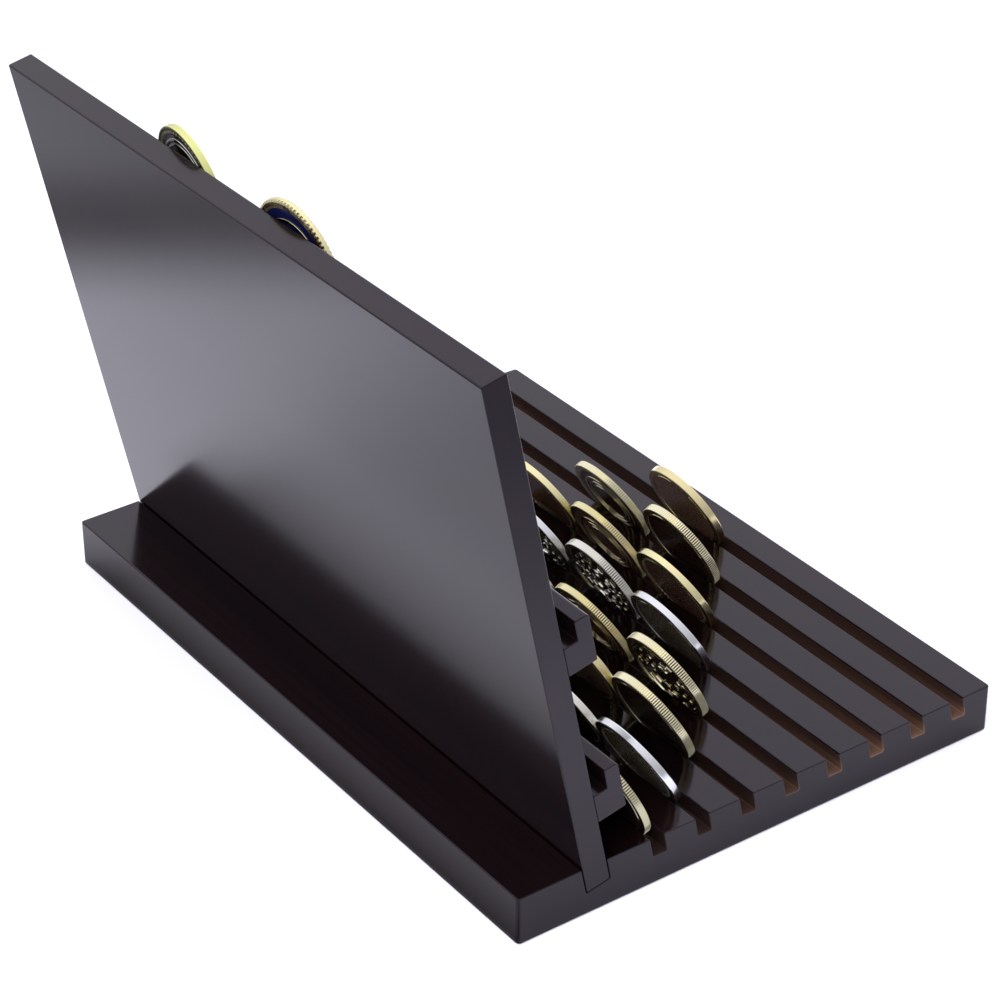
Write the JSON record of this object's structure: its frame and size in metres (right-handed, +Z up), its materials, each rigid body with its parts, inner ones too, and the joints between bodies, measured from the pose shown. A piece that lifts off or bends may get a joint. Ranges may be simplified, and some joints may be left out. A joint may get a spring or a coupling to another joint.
{
  "type": "coin display stand",
  "caption": "Dark wooden stand for collectors' coins: a grooved base board and a tilted back panel with coin rails, holding loose coins on edge.",
  "frame": {"origin": "centre of the base board's underside", "axes": "+X along the grooves, +Y from the front edge towards the back panel, +Z up"},
  "size_m": [0.3, 0.2302, 0.2314],
  "materials": {
    "dark_wood": "very dark brown stain under a satin lacquer",
    "gold_coin": "polished gold plating, darkened in the recesses",
    "silver_coin": "polished nickel plating, darkened in the recesses",
    "blue_coin": "gold-plated rim round dark blue enamel"
  },
  "bodies": {
    "base": {"base_board": "dark_wood"},
    "panel": {"back_panel": "dark_wood", "rail_lower": "dark_wood", "rail_middle": "dark_wood", "rail_top": "dark_wood"},
    "coin_1_1": {"coin_1_1": "gold_coin"},
    "coin_2_1": {"coin_2_1": "gold_coin"},
    "coin_2_2": {"coin_2_2": "gold_coin"},
    "coin_3_1": {"coin_3_1": "gold_coin"},
    "coin_3_2": {"coin_3_2": "gold_coin"},
    "coin_3_3": {"coin_3_3": "gold_coin"},
    "coin_4_1": {"coin_4_1": "silver_coin"},
    "coin_4_2": {"coin_4_2": "silver_coin"},
    "coin_4_3": {"coin_4_3": "silver_coin"},
    "coin_4_4": {"coin_4_4": "gold_coin"},
    "coin_5_1": {"coin_5_1": "gold_coin"},
    "coin_5_2": {"coin_5_2": "gold_coin"},
    "coin_5_3": {"coin_5_3": "silver_coin"},
    "coin_5_4": {"coin_5_4": "gold_coin"},
    "coin_5_5": {"coin_5_5": "gold_coin"},
    "coin_6_1": {"coin_6_1": "gold_coin"},
    "coin_6_2": {"coin_6_2": "gold_coin"},
    "coin_6_3": {"coin_6_3": "silver_coin"},
    "coin_6_4": {"coin_6_4": "gold_coin"},
    "coin_6_5": {"coin_6_5": "gold_coin"},
    "coin_6_6": {"coin_6_6": "silver_coin"},
    "coin_7_1": {"coin_7_1": "silver_coin"},
    "coin_7_2": {"coin_7_2": "silver_coin"},
    "coin_7_3": {"coin_7_3": "gold_coin"},
    "coin_7_4": {"coin_7_4": "gold_coin"},
    "coin_7_5": {"coin_7_5": "silver_coin"},
    "coin_7_6": {"coin_7_6": "silver_coin"},
    "coin_7_7": {"coin_7_7": "gold_coin"},
    "coin_8_1": {"coin_8_1": "gold_coin"},
    "coin_8_2": {"coin_8_2": "gold_coin"},
    "coin_8_3": {"coin_8_3": "silver_coin"},
    "coin_8_4": {"coin_8_4": "gold_coin"},
    "coin_8_5": {"coin_8_5": "gold_coin"},
    "coin_8_6": {"coin_8_6": "silver_coin"},
    "coin_8_7": {"coin_8_7": "silver_coin"},
    "coin_top_gold": {"coin_top_gold": "gold_coin"},
    "coin_top_blue": {"coin_top_blue": "blue_coin"}
  },
  "joints": [
    {"name": "panel_lift", "type": "slide", "parent": "base", "child": "panel", "axis": [0, 0.1994, 0.9799], "range_m": [0, 0.03]},
    {"name": "coin_1_1_lift", "type": "slide", "parent": "base", "child": "coin_1_1", "axis": [0, 0.1994, 0.9799], "range_m": [0, 0.03]},
    {"name": "coin_2_1_lift", "type": "slide", "parent": "base", "child": "coin_2_1", "axis": [0, 0.1994, 0.9799], "range_m": [0, 0.03]},
    {"name": "coin_2_2_lift", "type": "slide", "parent": "base", "child": "coin_2_2", "axis": [0, 0.1994, 0.9799], "range_m": [0, 0.03]},
    {"name": "coin_3_1_lift", "type": "slide", "parent": "base", "child": "coin_3_1", "axis": [0, 0.1994, 0.9799], "range_m": [0, 0.03]},
    {"name": "coin_3_2_lift", "type": "slide", "parent": "base", "child": "coin_3_2", "axis": [0, 0.1994, 0.9799], "range_m": [0, 0.03]},
    {"name": "coin_3_3_lift", "type": "slide", "parent": "base", "child": "coin_3_3", "axis": [0, 0.1994, 0.9799], "range_m": [0, 0.03]},
    {"name": "coin_4_1_lift", "type": "slide", "parent": "base", "child": "coin_4_1", "axis": [0, 0.1994, 0.9799], "range_m": [0, 0.03]},
    {"name": "coin_4_2_lift", "type": "slide", "parent": "base", "child": "coin_4_2", "axis": [0, 0.1994, 0.9799], "range_m": [0, 0.03]},
    {"name": "coin_4_3_lift", "type": "slide", "parent": "base", "child": "coin_4_3", "axis": [0, 0.1994, 0.9799], "range_m": [0, 0.03]},
    {"name": "coin_4_4_lift", "type": "slide", "parent": "base", "child": "coin_4_4", "axis": [0, 0.1994, 0.9799], "range_m": [0, 0.03]},
    {"name": "coin_5_1_lift", "type": "slide", "parent": "base", "child": "coin_5_1", "axis": [0, 0.1994, 0.9799], "range_m": [0, 0.03]},
    {"name": "coin_5_2_lift", "type": "slide", "parent": "base", "child": "coin_5_2", "axis": [0, 0.1994, 0.9799], "range_m": [0, 0.03]},
    {"name": "coin_5_3_lift", "type": "slide", "parent": "base", "child": "coin_5_3", "axis": [0, 0.1994, 0.9799], "range_m": [0, 0.03]},
    {"name": "coin_5_4_lift", "type": "slide", "parent": "base", "child": "coin_5_4", "axis": [0, 0.1994, 0.9799], "range_m": [0, 0.03]},
    {"name": "coin_5_5_lift", "type": "slide", "parent": "base", "child": "coin_5_5", "axis": [0, 0.1994, 0.9799], "range_m": [0, 0.03]},
    {"name": "coin_6_1_lift", "type": "slide", "parent": "base", "child": "coin_6_1", "axis": [0, 0.1994, 0.9799], "range_m": [0, 0.03]},
    {"name": "coin_6_2_lift", "type": "slide", "parent": "base", "child": "coin_6_2", "axis": [0, 0.1994, 0.9799], "range_m": [0, 0.03]},
    {"name": "coin_6_3_lift", "type": "slide", "parent": "base", "child": "coin_6_3", "axis": [0, 0.1994, 0.9799], "range_m": [0, 0.03]},
    {"name": "coin_6_4_lift", "type": "slide", "parent": "base", "child": "coin_6_4", "axis": [0, 0.1994, 0.9799], "range_m": [0, 0.03]},
    {"name": "coin_6_5_lift", "type": "slide", "parent": "base", "child": "coin_6_5", "axis": [0, 0.1994, 0.9799], "range_m": [0, 0.03]},
    {"name": "coin_6_6_lift", "type": "slide", "parent": "base", "child": "coin_6_6", "axis": [0, 0.1994, 0.9799], "range_m": [0, 0.03]},
    {"name": "coin_7_1_lift", "type": "slide", "parent": "base", "child": "coin_7_1", "axis": [0, 0.1994, 0.9799], "range_m": [0, 0.03]},
    {"name": "coin_7_2_lift", "type": "slide", "parent": "base", "child": "coin_7_2", "axis": [0, 0.1994, 0.9799], "range_m": [0, 0.03]},
    {"name": "coin_7_3_lift", "type": "slide", "parent": "base", "child": "coin_7_3", "axis": [0, 0.1994, 0.9799], "range_m": [0, 0.03]},
    {"name": "coin_7_4_lift", "type": "slide", "parent": "base", "child": "coin_7_4", "axis": [0, 0.1994, 0.9799], "range_m": [0, 0.03]},
    {"name": "coin_7_5_lift", "type": "slide", "parent": "base", "child": "coin_7_5", "axis": [0, 0.1994, 0.9799], "range_m": [0, 0.03]},
    {"name": "coin_7_6_lift", "type": "slide", "parent": "base", "child": "coin_7_6", "axis": [0, 0.1994, 0.9799], "range_m": [0, 0.03]},
    {"name": "coin_7_7_lift", "type": "slide", "parent": "base", "child": "coin_7_7", "axis": [0, 0.1994, 0.9799], "range_m": [0, 0.03]},
    {"name": "coin_8_1_lift", "type": "slide", "parent": "base", "child": "coin_8_1", "axis": [0, 0.1994, 0.9799], "range_m": [0, 0.03]},
    {"name": "coin_8_2_lift", "type": "slide", "parent": "base", "child": "coin_8_2", "axis": [0, 0.1994, 0.9799], "range_m": [0, 0.03]},
    {"name": "coin_8_3_lift", "type": "slide", "parent": "base", "child": "coin_8_3", "axis": [0, 0.1994, 0.9799], "range_m": [0, 0.03]},
    {"name": "coin_8_4_lift", "type": "slide", "parent": "base", "child": "coin_8_4", "axis": [0, 0.1994, 0.9799], "range_m": [0, 0.03]},
    {"name": "coin_8_5_lift", "type": "slide", "parent": "base", "child": "coin_8_5", "axis": [0, 0.1994, 0.9799], "range_m": [0, 0.03]},
    {"name": "coin_8_6_lift", "type": "slide", "parent": "base", "child": "coin_8_6", "axis": [0, 0.1994, 0.9799], "range_m": [0, 0.03]},
    {"name": "coin_8_7_lift", "type": "slide", "parent": "base", "child": "coin_8_7", "axis": [0, 0.1994, 0.9799], "range_m": [0, 0.03]},
    {"name": "coin_top_gold_lift", "type": "slide", "parent": "panel", "child": "coin_top_gold", "axis": [0, 0.1994, 0.9799], "range_m": [0, 0.03]},
    {"name": "coin_top_blue_lift", "type": "slide", "parent": "panel", "child": "coin_top_blue", "axis": [0, 0.1994, 0.9799], "range_m": [0, 0.03]}
  ]
}
